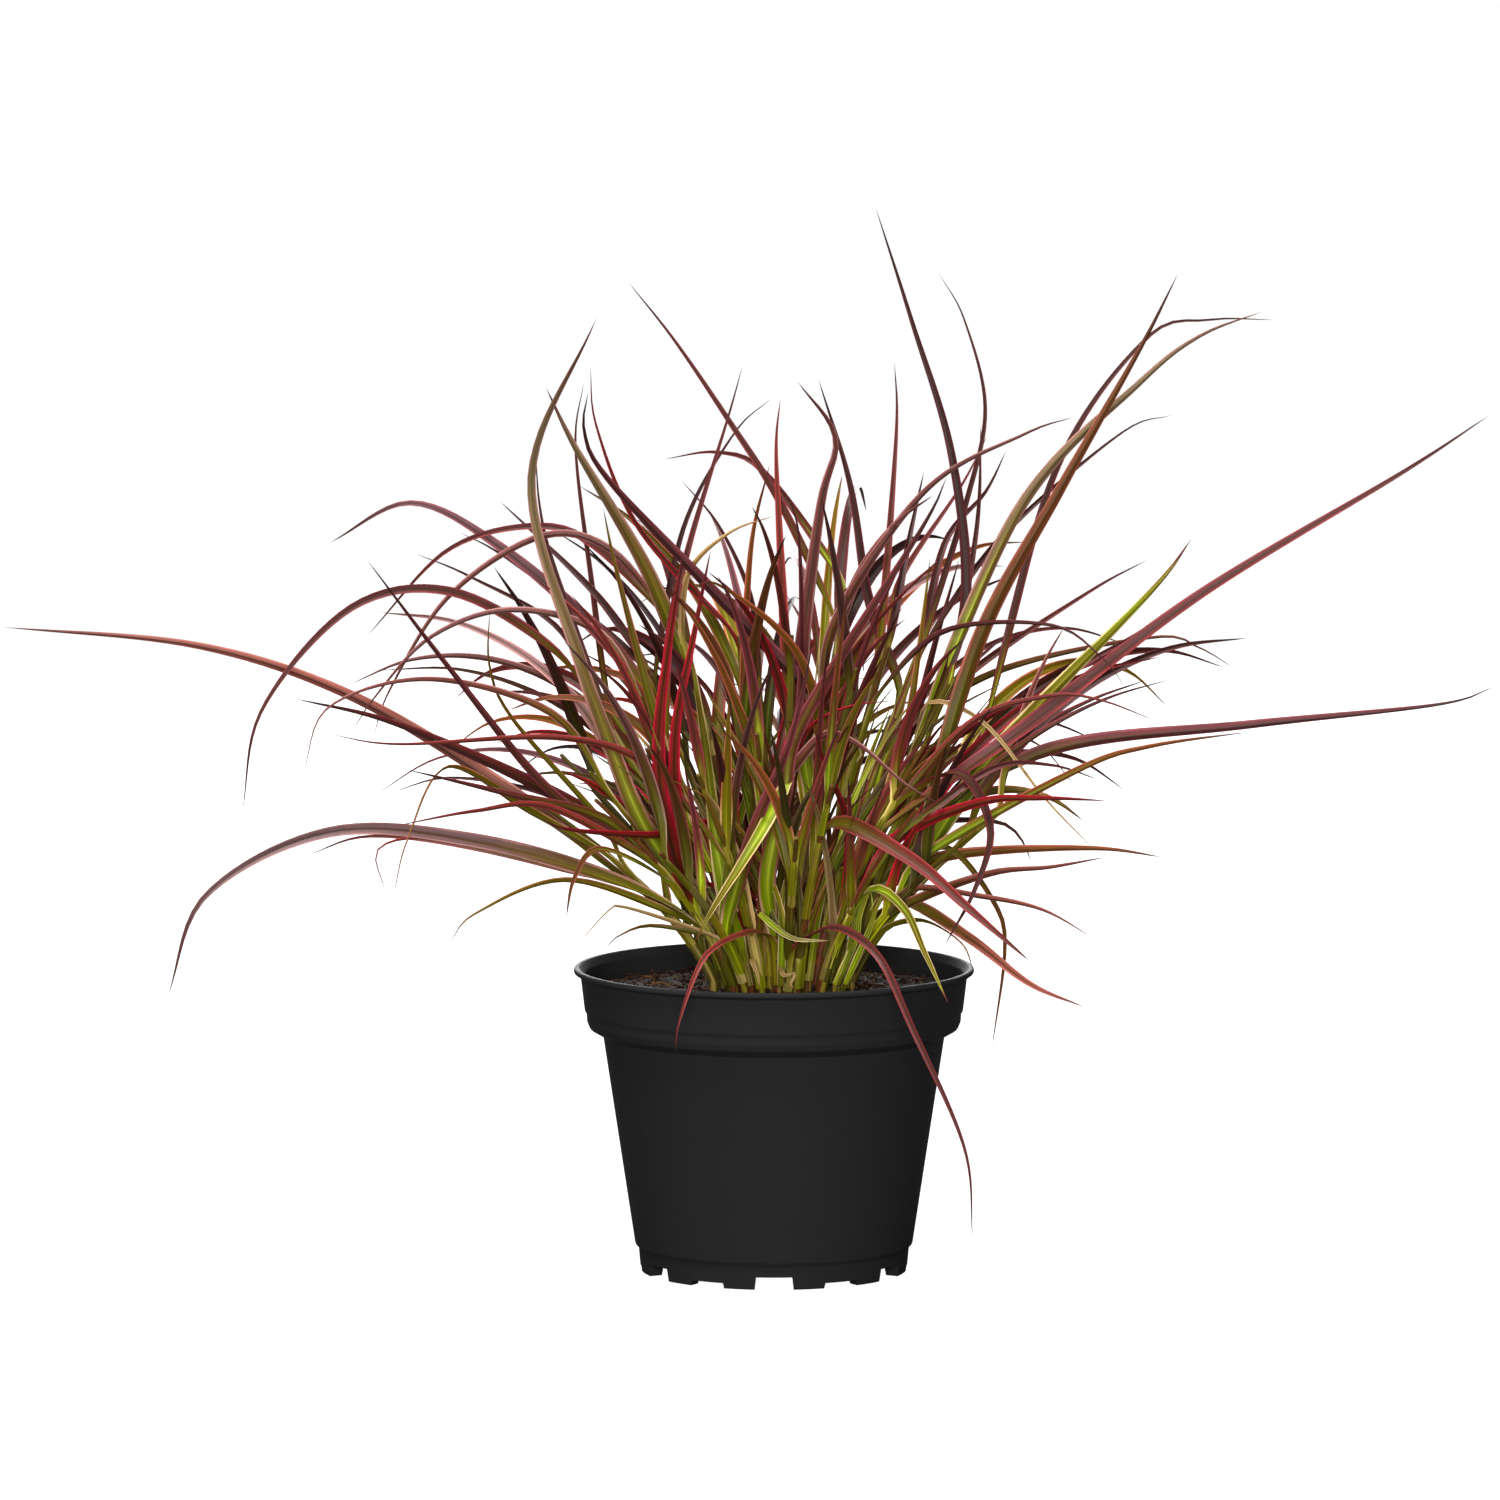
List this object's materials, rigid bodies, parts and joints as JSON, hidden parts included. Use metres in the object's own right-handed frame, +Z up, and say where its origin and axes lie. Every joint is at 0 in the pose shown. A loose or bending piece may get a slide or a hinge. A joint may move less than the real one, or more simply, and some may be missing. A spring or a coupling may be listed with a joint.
{
  "type": "potted purple fountain grass",
  "caption": "Clump of purple fountain grass with arching narrow blades, growing in peat in a black plastic nursery pot.",
  "frame": {"origin": "middle of the pot's base, in the plane the pot stands on", "axes": "+Z up along the pot's axis, +X to the right as seen from the front, +Y to the back"},
  "size_m": [0.7075, 0.374, 0.5059],
  "materials": {
    "black_plastic": "matte black injection moulded",
    "peat": "loose dark peat with fibres",
    "grass_leaf": "satin leaf, purple over green"
  },
  "bodies": {
    "root": {"pot": "black_plastic", "soil": "peat", "leafy_stem_01": "grass_leaf", "leafy_stem_02": "grass_leaf", "leafy_stem_03": "grass_leaf", "leafy_stem_04": "grass_leaf", "leafy_stem_05": "grass_leaf", "leafy_stem_06": "grass_leaf", "leafy_stem_07": "grass_leaf", "leafy_stem_08": "grass_leaf", "leafy_stem_09": "grass_leaf", "leafy_stem_10": "grass_leaf", "leafy_stem_11": "grass_leaf", "leafy_stem_12": "grass_leaf", "leafy_stem_13": "grass_leaf", "leafy_stem_14": "grass_leaf", "leafy_stem_15": "grass_leaf", "leafy_stem_16": "grass_leaf", "leafy_stem_17": "grass_leaf", "leafy_stem_18": "grass_leaf", "leafy_stem_19": "grass_leaf", "leafy_stem_20": "grass_leaf", "leafy_stem_21": "grass_leaf", "leafy_stem_22": "grass_leaf", "leafy_stem_23": "grass_leaf", "leafy_stem_24": "grass_leaf", "leafy_stem_25": "grass_leaf", "leafy_stem_26": "grass_leaf", "leafy_stem_27": "grass_leaf", "leafy_stem_28": "grass_leaf", "leafy_stem_29": "grass_leaf", "leafy_stem_30": "grass_leaf", "leafy_stem_31": "grass_leaf", "leafy_stem_32": "grass_leaf", "leafy_stem_33": "grass_leaf", "leafy_stem_34": "grass_leaf", "leafy_stem_35": "grass_leaf", "leafy_stem_36": "grass_leaf", "leafy_stem_37": "grass_leaf", "leafy_stem_38": "grass_leaf", "leafy_stem_39": "grass_leaf", "leafy_stem_40": "grass_leaf", "leafy_stem_41": "grass_leaf", "leafy_stem_42": "grass_leaf"}
  },
  "joints": []
}
